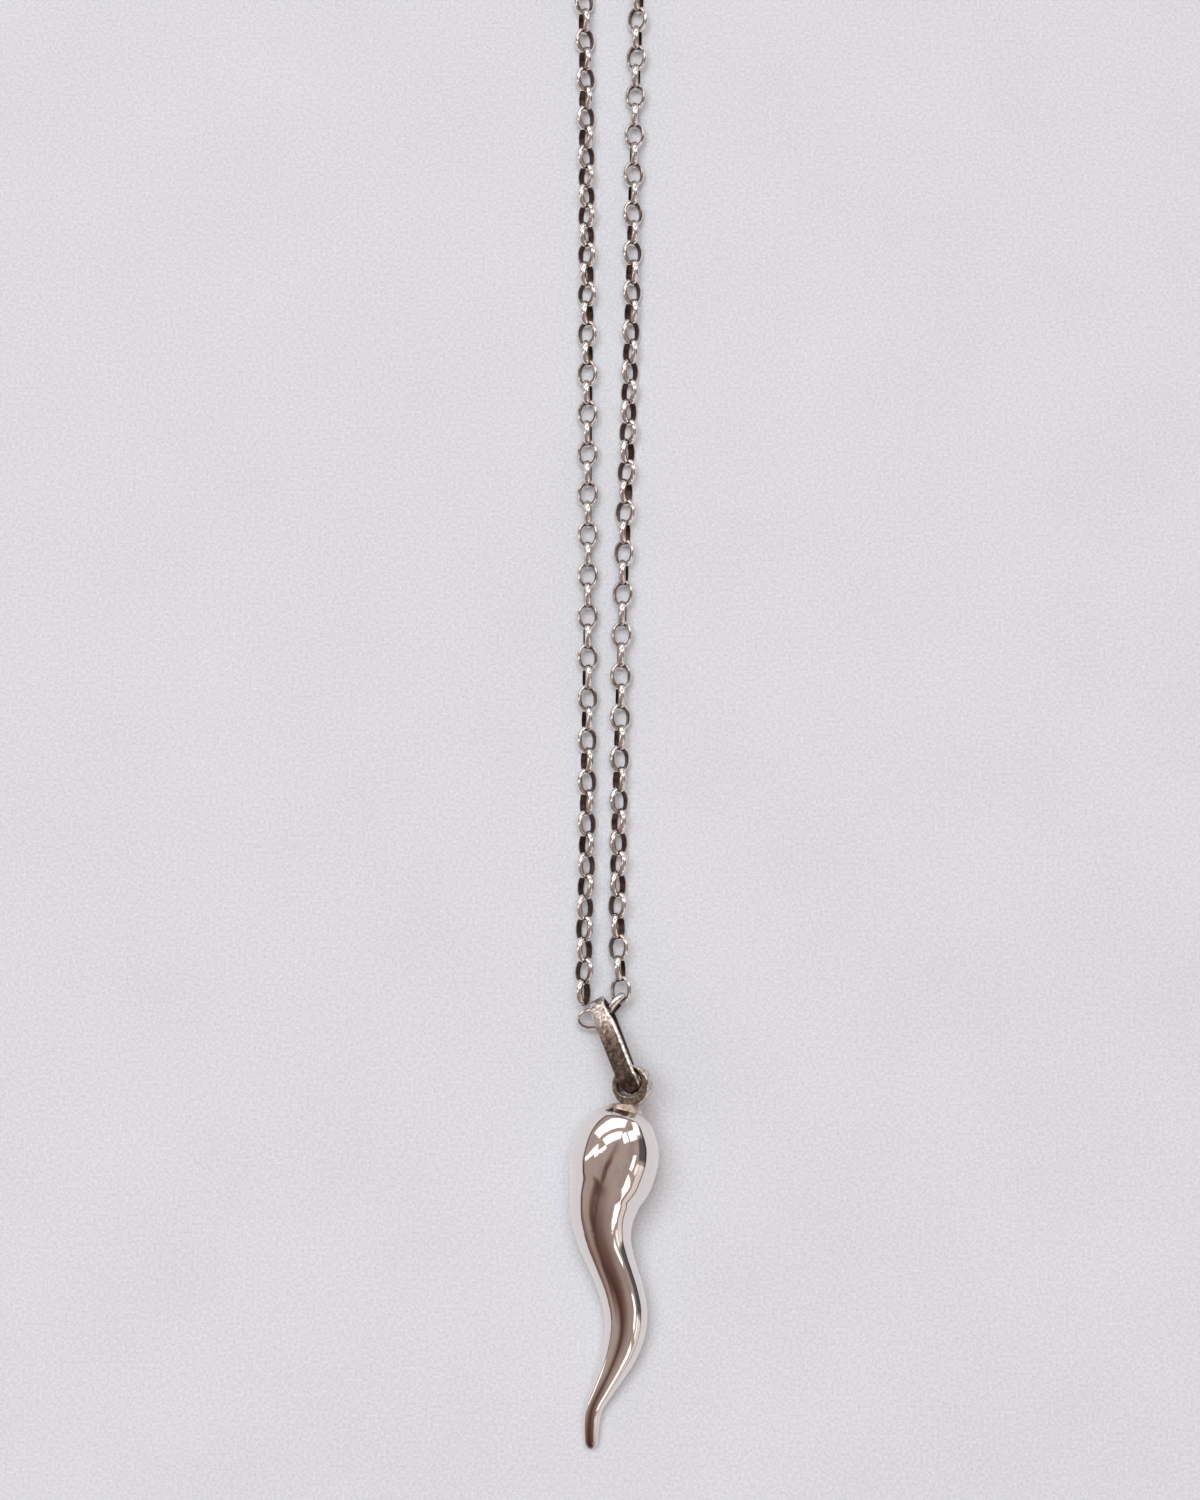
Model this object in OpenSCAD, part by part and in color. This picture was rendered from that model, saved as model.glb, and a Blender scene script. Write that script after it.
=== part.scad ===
// Cornicello horn pendant on an oval belcher chain, laid out on a table.
// X runs across the chain, Y from the horn's tip to the clasp, Z up from the table.
// The origin is on the table, midway along and across the laid-out necklace.

/* [Horn] */
// Length of the horn from the top of its collar to its tip
horn_len = 36.6; // [34:0.2:40]
// Diameter of the horn's bulb
bulb_d = 9.4; // [8.8:0.1:9.8]
// Diameter of the collar under the ring
collar_d = 4.1; // [3.8:0.1:4.6]
// Height of the collar
collar_h = 1; // [0.8:0.1:1.2]

/* [Ring] */
// Outer diameter of the soldered ring
ring_d = 4.4; // [4.2:0.1:4.6]
// Radial thickness of the ring
ring_wall = 0.72; // [0.6:0.02:0.8]
// Width of the ring along its own axis
ring_w = 1.4; // [1.3:0.05:1.45]
// How far the ring is turned about the horn's axis
ring_turn = -28; // [-31:1:-25]

/* [Bail] */
// Width of the bail's strip
bail_strip_w = 1.65; // [1.4:0.05:1.7]
// Thickness of the bail's strip
bail_strip_t = 0.45; // [0.3:0.05:0.5]
// Inner depth of the bail where the chain runs through it
bail_top_depth = 2.9; // [2.8:0.05:3.1]
// Inner depth of the bail where it holds the ring
bail_foot_depth = 2.2; // [2.15:0.05:2.3]

/* [Chain] */
// Outer width of a link
link_w = 2.33; // [2.2:0.01:2.4]
// Width of the band that a link is bent from
band_w = 0.8; // [0.7:0.01:0.82]
// Thickness of that band at the crown of its dome
band_t = 0.28; // [0.24:0.01:0.3]
// Distance from the middle of one link to the next
pitch = 2.34; // [2.3:0.01:2.38]
// Clear space between two links that hang in each other
link_gap = 0.2; // [0.19:0.01:0.21]

/* [Clasp] */
// Diameter of the clasp ring, to the middle of its wire
clasp_d = 4.4; // [4:0.1:5]
// Wire of the clasp ring
clasp_wire = 1; // [0.8:0.05:1.1]
// Diameter of the clasp's eye, to the middle of its wire
eye_d = 2.4; // [2.3:0.05:2.6]
// Wire of the clasp's eye
eye_wire = 0.6; // [0.5:0.05:0.7]

/* [Hidden] */

// Round stretches are drawn with this many straight steps
$fn = 48;

// Places on the table: the collar, the two strands' lowest links and the
// height where the strands leave their straight run for the neck loop
collar_x = 1.25;
collar_y = -90.15;
left_y = -77.75;
right_y = -77.53;
loop_y = 37.25;

// The horn's outline, a row for each bend or change of thickness
ALONG = 0;      // share of the horn's length, from the collar down
SIDE = 1;       // how far the middle line lies beside the collar, in mm
THICK = 2;      // thickness as a share of the bulb's diameter
HORN = [
    [0.018,  0.02, 0.42],
    [0.042, -0.18, 0.67],
    [0.094, -0.55, 0.90],
    [0.160, -0.92, 1.00],
    [0.220, -1.38, 0.95],
    [0.280, -1.98, 0.82],
    [0.340, -2.22, 0.71],
    [0.400, -1.98, 0.61],
    [0.455, -1.38, 0.54],
    [0.515, -0.58, 0.51],
    [0.560, -0.08, 0.505],
    [0.610,  0.24, 0.495],
    [0.665,  0.15, 0.465],
    [0.720, -0.38, 0.415],
    [0.775, -1.25, 0.335],
    [0.830, -2.28, 0.265],
    [0.880, -3.18, 0.215],
    [0.930, -3.48, 0.195],
    [1.000, -3.48, 0.150]
];
horn_steps = 42;
horn_sides = 24;
// The round end of the tip starts here, as a share of the length
tip_start = 0.98;

// The collar's wall slopes in by this much to its top
collar_slope = 0.5;

// The horn lies on its bulb and its tip, so its collar is raised
bulb_at = 0.16;
tip_d = 1.5;
horn_tilt = asin((bulb_d - tip_d) / 2 / ((tip_start - bulb_at) * horn_len));
collar_z = bulb_d / 2 / cos(horn_tilt) + bulb_at * horn_len * sin(horn_tilt);

// The ring is soldered off the collar's middle and sinks a little into it
ring_side = 0.95;
ring_up = ring_d / 2 - 0.3;
ring_z = collar_z + ring_up * sin(horn_tilt);

// The bail runs from the chain, low, to the ring, high
bail_top = [-0.75, -80.21, 2.11];
bail_foot = [1.92, -87.64, ring_z + 0.23];
bail_roll = -19;

// The link's bend, and the circle that domes its band
bend_r = link_w / 2 - band_t;
dome_r = (pow(band_w / 2, 2) + pow(band_t, 2)) / 2 / band_t;
// A flat band pushed into a round bend stands off by this much
stand_off = bend_r - sqrt(pow(bend_r, 2) - pow(band_w / 2, 2));
link_in = pitch + 2 * stand_off + link_gap;
link_side = link_in - 2 * bend_r;

// Each strand's run from its lowest link: distance, place across and twist.
// The last rows twist the hidden stretch so that its end links stand upright.
RUN = 0;        // distance along the strand from its lowest link, in mm
ACROSS = 1;     // place across the table, in mm
TWIST = 2;      // turn of every second link about the strand, in degrees
LEFT = [
    [0,   -3.10,   58],
    [3,   -2.96,   53],
    [7,   -2.98,   47],
    [14,  -2.76,   40],
    [23,  -2.70,   28],
    [32,  -2.66,   16],
    [42,  -2.65,    3],
    [51,  -2.63,    0],
    [61,  -2.66,   -5],
    [70,  -2.68,  -13],
    [79,  -2.75,  -28],
    [91,  -2.81,  -45],
    [105, -2.91,  -63],
    [115, -3.12,  -72],
    [140, -3.12,  -90],
    [300, -3.12,  -90]
];
RIGHT = [
    [0,    1.01,  168],
    [4.7,  0.74,  157],
    [9,    0.64,  146],
    [14,   0.74,  135],
    [28,   0.92,  108],
    [37,   1.06,   93],
    [46,   1.32,   80],
    [56,   1.62,   64],
    [65,   1.94,   48],
    [79,   2.34,   28],
    [93,   2.54,    9],
    [107,  2.88,  -10],
    [115,  3.12,  -18],
    [190,  3.12,  -90],
    [300,  3.12,  -90]
];
left_links = 97;
right_links = 95;

// The bail lifts the chain off the table, and the lift dies out along it
bail_lift = 0.8;
lift_run = 20;

// The two links at the turn, where the chain runs through the bail
turn_left = [-2.25, -80.63, 1.38];
turn_left_heading = -90;
turn_left_twist = 4;
turn_right = [0.38, -79.14, 2.27];
turn_right_heading = -40;
turn_right_twist = 81;

// The neck loop: each strand bends out, then round to the clasp
loop_x = 3.12;
loop_lean = 1.5;
loop_spread = 50;
// Where a link hangs in the clasp ring and in its eye, from the ring's middle
ring_in = (clasp_d - clasp_wire) / 2;
eye_in = (eye_d - eye_wire) / 2;
eye_at = (clasp_d + eye_d) / 2 + (clasp_wire + eye_wire) * 0.28;
function hang(r) = sqrt(pow(r, 2) - pow(band_w / 2, 2)) - link_gap + (link_in - pitch) / 2;
// The clasp's wire sinks this far onto the lower side of the end links
clasp_sink = 0.2;
clasp_len = hang(ring_in) + eye_at + hang(eye_in);
left_hook = (left_links - 0.5) * pitch;
right_hook = (right_links - 0.5) * pitch;
left_straight = loop_y - left_y;
right_straight = loop_y - right_y;
loop_len = (left_hook + right_hook + clasp_len - left_straight - right_straight) / 2;
// Radii of the two arcs, so that the loop closes on its middle line
rad = PI / 180;
round_share = (loop_spread + 90) * rad / cos(loop_spread);
out_share = cos(loop_lean) - cos(loop_spread);
out_r = (loop_len - loop_x * round_share)
    / ((loop_spread - loop_lean) * rad + out_share * round_share);
round_r = (loop_x + out_r * out_share) / cos(loop_spread);
out_len = out_r * (loop_spread - loop_lean) * rad;

function column(rows, c) = [for (r = rows) [r[RUN], r[c]]];

// Heading on the neck loop, in degrees outward from Y, after a run s of it
function loop_heading(s) = s < out_len
    ? loop_lean + s / out_r / rad
    : loop_spread - (s - out_len) / round_r / rad;

// Place on the neck loop after a run s, on the right-hand side
function loop_place(s) =
    let (h = loop_heading(s))
    s < out_len
        ? [loop_x + out_r * (cos(loop_lean) - cos(h)),
           loop_y + out_r * (sin(h) - sin(loop_lean))]
        : [round_r * cos(h),
           loop_y + out_r * (sin(loop_spread) - sin(loop_lean))
               + round_r * (sin(loop_spread) - sin(h))];

// Height of the chain's middle line for a twist, on its two lowest domes
function rest_height(twist) =
    dome_r + (link_w / 2 - dome_r) * max(abs(sin(twist)), abs(cos(twist)));

// Place and heading of a link at run s on a strand; hand is -1 left, 1 right
function strand_place(rows, start_y, s, hand) =
    let (straight = loop_y - start_y, lift = bail_lift * max(0, 1 - s / lift_run),
         z = rest_height(lookup(s, column(rows, TWIST))) + lift)
    s < straight
        ? [lookup(s, column(rows, ACROSS)), start_y + s, z]
        : let (p = loop_place(s - straight)) [hand * p[0], p[1], z];
function strand_heading(rows, start_y, s, hand) =
    let (straight = loop_y - start_y)
    s < straight
        ? atan2(lookup(s - 1, column(rows, ACROSS)) - lookup(s + 1, column(rows, ACROSS)), 2)
        : -hand * loop_heading(s - straight);

// Smooth curve through a column of the horn's outline
function row_of(u, i = 0) = i >= len(HORN) - 2 || u < HORN[i + 1][ALONG] ? i : row_of(u, i + 1);
function row_slope(i, c) =
    let (a = HORN[max(i - 1, 0)], b = HORN[min(i + 1, len(HORN) - 1)])
    (b[c] - a[c]) / (b[ALONG] - a[ALONG]);
function smooth(u, c) =
    let (i = row_of(u), a = HORN[i], b = HORN[i + 1], w = b[ALONG] - a[ALONG], t = (u - a[ALONG]) / w)
    (2 * pow(t, 3) - 3 * pow(t, 2) + 1) * a[c] + (pow(t, 3) - 2 * pow(t, 2) + t) * w * row_slope(i, c)
        + (3 * pow(t, 2) - 2 * pow(t, 3)) * b[c] + (pow(t, 3) - pow(t, 2)) * w * row_slope(i + 1, c);
function tip_round(u) = u < tip_start ? 1 : sqrt(max(0.02, 1 - pow((u - tip_start) / (1 - tip_start), 2)));
function horn_radius(u) = bulb_d / 2 * smooth(u, THICK) * tip_round(u);
// Turn of the middle line in its own plane, from straight down
function horn_turn(u) =
    let (d = 0.004, lo = max(u - d, HORN[0][ALONG]), hi = min(u + d, 1))
    atan2(smooth(hi, SIDE) - smooth(lo, SIDE), (hi - lo) * horn_len);

// The horn's body: round sections square to the S-shaped middle line
module horn_body() {
    shares = concat([for (k = [0:horn_steps]) HORN[0][ALONG]
                        + (tip_start - HORN[0][ALONG]) * pow(k / horn_steps, 1.2)],
                    [0.988, 0.994, 0.998, 1]);
    points = [for (u = shares, k = [0:horn_sides - 1])
        let (a = 360 * k / horn_sides, r = horn_radius(u), h = horn_turn(u))
        [smooth(u, SIDE) + r * cos(a) * cos(h), -u * horn_len + r * cos(a) * sin(h), r * sin(a)]];
    n = horn_sides;
    last = len(shares) - 1;
    walls = [for (j = [0:last - 1], k = [0:n - 1])
        [j * n + k, (j + 1) * n + k, (j + 1) * n + (k + 1) % n, j * n + (k + 1) % n]];
    ends = [[for (k = [0:n - 1]) k], [for (k = [n - 1:-1:0]) last * n + k]];
    polyhedron(points, concat(walls, ends), convexity = 6);
}

module collar() {
    rotate([90, 0, 0])
        cylinder(h = collar_h, r1 = collar_d / 2 - collar_slope, r2 = collar_d / 2);
}

module ring() {
    chamfer = ring_wall / 4;
    half = ring_w / 2;
    outer = ring_d / 2;
    inner = outer - ring_wall;
    rotate([0, ring_turn, 0])
        rotate_extrude()
            polygon([[inner, chamfer - half], [inner + chamfer, -half], [outer - chamfer, -half],
                     [outer, chamfer - half], [outer, half - chamfer], [outer - chamfer, half],
                     [inner + chamfer, half], [inner, half - chamfer]]);
}

// Horn, collar and ring are soldered into one piece
module horn() {
    color("silver")
        translate([collar_x, collar_y, collar_z])
            rotate([horn_tilt, 0, 0]) {
                horn_body();
                collar();
                translate([ring_side, ring_up, 0]) ring();
            }
}

// A round-ended wedge: two circles and the straight sides that touch them
module bail_outline(top_r, foot_r, span) {
    lean = asin((top_r - foot_r) / span);
    circle(foot_r);
    translate([0, span]) circle(top_r);
    polygon([foot_r * [cos(lean), -sin(lean)], [0, span] + top_r * [cos(lean), -sin(lean)],
             [0, span] + top_r * [-cos(lean), -sin(lean)], foot_r * [-cos(lean), -sin(lean)]]);
}

module bail() {
    run = bail_top - bail_foot;
    span = norm(run);
    color("gray")
        translate(bail_foot)
            rotate([0, 0, -atan2(run[0], run[1])])
                rotate([asin(run[2] / span), 0, 0])
                    rotate([0, bail_roll, 0])
                        rotate([0, 90, 0])
                            linear_extrude(height = bail_strip_w, center = true)
                                difference() {
                                    bail_outline(bail_top_depth / 2 + bail_strip_t,
                                                 bail_foot_depth / 2 + bail_strip_t, span);
                                    bail_outline(bail_top_depth / 2, bail_foot_depth / 2, span);
                                }
}

// Cross-section of a link's band: flat inside, domed outside
module band() {
    intersection() {
        translate([bend_r + band_t - dome_r, 0]) circle(dome_r);
        translate([bend_r, -band_w / 2]) square([band_t, band_w]);
    }
}

// A link lying flat, its long axis along Y
module link() {
    for (turn = [0, 180])
        rotate([0, 0, turn]) {
            translate([0, link_side / 2, 0]) rotate_extrude(angle = 180) band();
            rotate([90, 0, 0]) linear_extrude(height = link_side, center = true) band();
        }
}

module link_at(place, heading, twist, fall = 0) {
    translate(place) rotate([-fall, 0, heading]) rotate([0, twist, 0]) link();
}

module strand(rows, start_y, count, hand) {
    for (i = [0:count - 1]) {
        s = i * pitch;
        twist = lookup(s, column(rows, TWIST)) - (i % 2) * 90;
        link_at(strand_place(rows, start_y, s, hand), strand_heading(rows, start_y, s, hand), twist,
                s < lift_run ? atan(bail_lift / lift_run) : 0);
    }
}

module chain_left() {
    color("lightgray") {
        strand(LEFT, left_y, left_links, -1);
        link_at(turn_left, turn_left_heading, turn_left_twist);
    }
}

module chain_right() {
    color("gainsboro") {
        strand(RIGHT, right_y, right_links, 1);
        link_at(turn_right, turn_right_heading, turn_right_twist);
    }
}

// A plain ring clasp with its eye, in one piece
module clasp() {
    per_degree = round_r * rad;
    left_of_top = left_straight + loop_len - left_hook - hang(ring_in);
    heading = -left_of_top / per_degree;
    top_y = loop_y + out_r * (sin(loop_spread) - sin(loop_lean)) + round_r * (sin(loop_spread));
    color("silver")
        translate([round_r * sin(heading), top_y + round_r * cos(heading), link_w / 2 - clasp_sink])
            rotate([0, 0, -heading - eye_at / 2 / per_degree]) {
                rotate_extrude() translate([clasp_d / 2, 0]) circle(d = clasp_wire);
                translate([eye_at, 0, 0])
                    rotate_extrude() translate([eye_d / 2, 0]) circle(d = eye_wire);
            }
}

horn();
bail();
chain_left();
chain_right();
clasp();
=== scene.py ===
"""Looks of a horn pendant on an oval belcher chain, lying on pale paper.

Every piece is a surface worked out as whole arrays. Sizes are metres, Z is up, and the
origin is on the table, midway along and across the laid-out necklace.
"""

import math

import bpy
import numpy as np
from bpy.props import FloatProperty, FloatVectorProperty, IntProperty, PointerProperty
from mathutils import Matrix, Vector


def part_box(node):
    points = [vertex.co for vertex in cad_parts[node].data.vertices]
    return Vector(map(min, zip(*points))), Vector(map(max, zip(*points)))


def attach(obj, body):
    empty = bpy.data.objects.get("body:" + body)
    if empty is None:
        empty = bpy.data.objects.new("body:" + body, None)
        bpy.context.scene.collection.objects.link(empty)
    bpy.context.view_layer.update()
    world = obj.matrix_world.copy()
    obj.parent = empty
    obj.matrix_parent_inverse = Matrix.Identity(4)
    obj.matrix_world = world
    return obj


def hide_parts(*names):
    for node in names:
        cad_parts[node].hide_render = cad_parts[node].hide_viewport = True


bl_info = {
    "name": "Horn Pendant Necklace",
    "version": (1, 0, 0),
    "blender": (4, 5, 0),
    "location": "3D View > Sidebar > Necklace",
    "description": "A silver horn pendant with its bail, belcher chain and ring clasp",
    "category": "Object",
}

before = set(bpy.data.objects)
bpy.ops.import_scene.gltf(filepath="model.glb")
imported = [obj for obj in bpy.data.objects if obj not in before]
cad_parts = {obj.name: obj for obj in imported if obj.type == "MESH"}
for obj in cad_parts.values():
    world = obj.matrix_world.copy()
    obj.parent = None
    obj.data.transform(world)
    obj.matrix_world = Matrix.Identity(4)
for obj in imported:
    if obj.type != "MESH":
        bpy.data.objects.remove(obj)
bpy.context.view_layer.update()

MM = 0.001
BODY = "root"

# The horn's outline: share of its length from the collar down, how far its middle line
# lies beside the collar in mm, and its thickness as a share of the bulb's
HORN_ROWS = np.array(
    [
        [0.018, 0.02, 0.42],
        [0.042, -0.18, 0.67],
        [0.094, -0.55, 0.90],
        [0.160, -0.92, 1.00],
        [0.220, -1.38, 0.95],
        [0.280, -1.98, 0.82],
        [0.340, -2.22, 0.71],
        [0.400, -1.98, 0.61],
        [0.455, -1.38, 0.54],
        [0.515, -0.58, 0.51],
        [0.560, -0.08, 0.505],
        [0.610, 0.24, 0.495],
        [0.665, 0.15, 0.465],
        [0.720, -0.38, 0.415],
        [0.775, -1.25, 0.335],
        [0.830, -2.28, 0.265],
        [0.880, -3.18, 0.215],
        [0.930, -3.48, 0.195],
        [1.000, -3.48, 0.150],
    ]
)
ALONG, SIDE, THICK = 0, 1, 2

# A painted dark streak along the horn's ridge, a painted reflection of the dark room that
# the ridge faces: share of the length, strength, half width in degrees round the horn,
# and the angle round the horn at which the ridge lies
RIDGE_PAINTED_REFLECTION = np.array(
    [
        [0.16, 0.0, 10],
        [0.26, 0.26, 14],
        [0.33, 0.42, 17],
        [0.42, 0.56, 20],
        [0.52, 0.62, 20],
        [0.66, 0.44, 13],
        [0.80, 0.36, 15],
        [0.92, 0.58, 32],
        [1.00, 0.85, 45],
    ]
)
RIDGE_AT = math.radians(98)
# Tarnish on the horn at its collar, and the share of the length over which it dies out
COLLAR_TARNISH = 0.22
COLLAR_TARNISH_REACH = 0.05
# The horn rests on its bulb and on its tip: the share of its length where the tip's round
# end starts, the share where the bulb is thickest, and the tip's thickness in mm
TIP_START = 0.98
BULB_AT = 0.16
TIP_D = 1.5

# Places on the table and about the horn, in mm, and turns in degrees, as in the solids
COLLAR_AT = np.array([1.25, -90.15])
RING_SIDE = 0.95
RING_SINK = 0.3
RING_TURN = -28
BAIL_TOP = np.array([-0.75, -80.21, 2.11])
BAIL_FOOT_ABOVE_RING = np.array([1.92, -87.64, 0.23])
BAIL_ROLL = -19

# The collar's top is narrower than its foot by twice the slope, and its rim is a quarter
# round of this radius, both in mm
COLLAR_SLOPE = 0.5
COLLAR_ROUND = 0.16

# The ring's edges are rounded by this radius in mm. Solder fills the foot of its hole: its
# depth in mm, and where it is deepest, in radians round the ring from straight below
RING_ROUND = 0.2
SOLDER_DEPTH = 0.42
SOLDER_AT = 0.6

# Corner cut and slope of the bail's strip, in mm. Then the strip's width as shares of its
# full width: the rear strip, how much wider the upper strip is, and how much more its
# left and its right half gain below the top bend
BAIL_CUT = 0.15
BAIL_SLOPE = 0.08
BAIL_REAR = 0.76
BAIL_WIDER = 0.30
BAIL_GAIN = (0.10, 0.36)

# A link's oval is by this share a slot and otherwise an ellipse. Across the band, each row
# has its place as a share of half the width and its height as a share of the wall. Along
# the oval's sides the inner face is deeper by the last number, as a share of its depth.
SLOT_SHARE = 0.3
BAND_ROWS = np.array(
    [[-1, -0.1], [-0.88, 0.45], [-0.42, 1.1], [0.42, 1.1], [0.88, 0.45], [1, -0.1]]
)
INNER_FACE_DEEPER = 1.6
# Tarnish and painted shade at both edges of each of the band's six faces, of which the last
# is the inner. The dark lines along the band's edges are painted shade, and the inner face's
# dark is partly tarnish and partly painted shade
BAND_TARNISH_AND_SHADE = np.array(
    [[0.55, 0.05], [0.05, 0], [0, 0], [0, 0.05], [0.05, 0.55], [0.79, 0.79]]
)

# The picture is taken from 11 degrees off the plumb line, from the tip's side
VIEW_LEAN = math.radians(11)
VIEW_DISTANCE = 0.3921
VIEW_AIM = Vector((-0.00127, -0.05055, 0.0))


# Surfaces


def grid_faces(rows, cols, closed_u=True):
    """The four corners of each cell between neighbouring points of a grid.

    The point at row u and column v has the number u times the columns plus v. The columns
    close on themselves, and so do the rows where the surface is closed along u.
    """
    u = np.arange(rows if closed_u else rows - 1)
    uu, vv = np.meshgrid(u, np.arange(cols), indexing="ij")
    nu, nv = (uu + 1) % rows, (vv + 1) % cols
    cells = [uu * cols + vv, nu * cols + vv, nu * cols + nv, uu * cols + nv]
    return np.stack(cells, -1).reshape(-1, 4)


def surface_piece(name, points, closed_u=False, poles=False):
    """A piece from a grid of points, rows along u and columns along v, closed along v.

    Poles close the first and the last row with a fan to the row's middle.
    """
    rows, cols = points.shape[:2]
    verts = points.reshape(-1, 3)
    faces = grid_faces(rows, cols, closed_u).tolist()
    for row in (0, rows - 1) if poles else ():
        middle = len(verts)
        verts = np.vstack([verts, points[row].mean(0)])
        rim = row * cols + np.arange(cols)
        fan = np.stack([np.full(cols, middle), rim, np.roll(rim, -1)], -1)
        faces += (fan if row == 0 else fan[:, ::-1]).tolist()
    return mesh_piece(name, verts, faces)


def mesh_piece(name, verts, faces, smooth=True):
    """An object at the origin from arrays of points and faces."""
    mesh = bpy.data.meshes.new(name)
    mesh.from_pydata(np.asarray(verts, float).tolist(), [], faces)
    mesh.update()
    if smooth:
        mesh.shade_smooth()
    obj = bpy.data.objects.new(name, mesh)
    bpy.context.scene.collection.objects.link(obj)
    return obj


def face_outward(obj):
    """Turns the faces over where the closed surface's signed volume is below zero.

    The volume is a sixth of the sum, over all faces, of the triple product of corners.
    """
    mesh = obj.data
    mesh.calc_loop_triangles()
    tri = np.zeros(len(mesh.loop_triangles) * 3, np.int32)
    mesh.loop_triangles.foreach_get("vertices", tri)
    co = vertex_array(mesh)[tri].reshape(-1, 3, 3)
    if np.einsum("ij,ij->", co[:, 0], np.cross(co[:, 1], co[:, 2])) < 0:
        mesh.flip_normals()


def vertex_array(mesh):
    """The mesh's points as an array, one row each."""
    co = np.zeros(len(mesh.vertices) * 3, np.float32)
    mesh.vertices.foreach_get("co", co)
    return co.reshape(-1, 3).astype(float)


def point_values(obj, name, values):
    """Writes one number for each point of the piece, which its material reads."""
    layer = obj.data.attributes.new(name, "FLOAT", "POINT")
    layer.data.foreach_set("value", np.asarray(values, np.float32).ravel())


def hermite(u, column):
    """A smooth curve through one column of the horn's rows.

    Between two rows it is the cubic whose slope at each row is the slope from the row
    before to the row after.
    """
    rows = HORN_ROWS
    last = len(rows) - 1
    i = np.clip(np.searchsorted(rows[:, ALONG], u, side="right") - 1, 0, last - 1)
    before = np.maximum(np.arange(last + 1) - 1, 0)
    after = np.minimum(np.arange(last + 1) + 1, last)
    slope = (rows[after, column] - rows[before, column]) / (
        rows[after, ALONG] - rows[before, ALONG]
    )
    a, b = rows[i], rows[i + 1]
    w = b[:, ALONG] - a[:, ALONG]
    t = (u - a[:, ALONG]) / w
    return (
        (2 * t**3 - 3 * t**2 + 1) * a[:, column]
        + (t**3 - 2 * t**2 + t) * w * slope[i]
        + (3 * t**2 - 2 * t**3) * b[:, column]
        + (t**3 - t**2) * w * slope[i + 1]
    )


def turned(points, axis, degrees):
    """The points turned about an axis through the origin, counter-clockwise."""
    a = math.radians(degrees)
    c, s = math.cos(a), math.sin(a)
    i, j = [(1, 2), (2, 0), (0, 1)]["XYZ".index(axis)]
    out = np.array(points, float)
    out[..., i] = points[..., i] * c - points[..., j] * s
    out[..., j] = points[..., i] * s + points[..., j] * c
    return out


def horn_tilt(sizes):
    """The horn's lean in degrees, as it lies on its bulb and on its tip.

    Its sine is half the difference of their thicknesses over the length between them.
    """
    length, bulb = sizes.horn_length / MM, sizes.bulb_width / MM
    return math.degrees(
        math.asin((bulb - TIP_D) / 2 / ((TIP_START - BULB_AT) * length))
    )


def collar_height(sizes):
    """The height of the collar's middle above the table, in mm.

    It is the bulb's radius over the cosine of the lean, and what the lean adds from the
    bulb to the collar.
    """
    lean = math.radians(horn_tilt(sizes))
    length, bulb = sizes.horn_length / MM, sizes.bulb_width / MM
    return bulb / 2 / math.cos(lean) + BULB_AT * length * math.sin(lean)


def on_table(points, sizes):
    """Points in the horn's own frame, in mm, set down on the table, in metres."""
    leaned = turned(points, "X", horn_tilt(sizes))
    return (leaned + np.array([*COLLAR_AT, collar_height(sizes)])) * MM


def finish_piece(obj, material, node):
    """Gives a piece its material and its slot, and has it stand for its CAD node."""
    obj.data.materials.append(material)
    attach(obj, BODY)
    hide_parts(node)


# Materials

SCRATCH_SCALE = 900.0


def shader_group(name, inputs, outputs):
    """A new shader node group with its sockets, and the nodes where it starts and ends."""
    group = bpy.data.node_groups.new(name, "ShaderNodeTree")
    for label, kind, value in inputs:
        socket = group.interface.new_socket(label, in_out="INPUT", socket_type=kind)
        if value is not None:
            socket.default_value = value
    for label, kind in outputs:
        group.interface.new_socket(label, in_out="OUTPUT", socket_type=kind)
    enter = group.nodes.new("NodeGroupInput")
    leave = group.nodes.new("NodeGroupOutput")
    return group, enter, leave


def noise(tree, vector, scale, detail=3.0, roughness=0.5, distortion=0.0):
    """A noise texture node on the given coordinates."""
    node = tree.nodes.new("ShaderNodeTexNoise")
    node.inputs["Detail"].default_value = detail
    node.inputs["Roughness"].default_value = roughness
    node.inputs["Distortion"].default_value = distortion
    tree.links.new(vector, node.inputs["Vector"])
    if isinstance(scale, (int, float)):
        node.inputs["Scale"].default_value = scale
    else:
        tree.links.new(scale, node.inputs["Scale"])
    return node.outputs["Fac"]


def ramp(tree, value, low, high, to_low=0.0, to_high=1.0):
    """A value spread by a smooth S from one range to another, held at both ends."""
    node = tree.nodes.new("ShaderNodeMapRange")
    node.interpolation_type = "SMOOTHSTEP"
    node.inputs["From Min"].default_value = low
    node.inputs["From Max"].default_value = high
    node.inputs["To Min"].default_value = to_low
    node.inputs["To Max"].default_value = to_high
    tree.links.new(value, node.inputs["Value"])
    return node.outputs["Result"]


def reckon(tree, operation, *values, clamp=False):
    """A Math node; each value is a number or a socket."""
    node = tree.nodes.new("ShaderNodeMath")
    node.operation = operation
    node.use_clamp = clamp
    for slot, value in zip(node.inputs, values):
        if isinstance(value, (int, float)):
            slot.default_value = value
        else:
            tree.links.new(value, slot)
    return node.outputs[0]


def blend_colour(tree, factor, first, second):
    """A colour between two; each is a colour or a socket."""
    node = tree.nodes.new("ShaderNodeMix")
    node.data_type = "RGBA"
    for slot, value in (
        (node.inputs[0], factor),
        (node.inputs[6], first),
        (node.inputs[7], second),
    ):
        if hasattr(value, "is_output"):
            tree.links.new(value, slot)
        elif isinstance(value, (int, float)):
            slot.default_value = value
        else:
            slot.default_value = (*value[:3], 1.0)
    return node.outputs[2]


def stretched(tree, vector, scale):
    """Coordinates made longer or shorter along each axis."""
    node = tree.nodes.new("ShaderNodeMapping")
    node.inputs["Scale"].default_value = scale
    tree.links.new(vector, node.inputs["Vector"])
    return node.outputs["Vector"]


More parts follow.
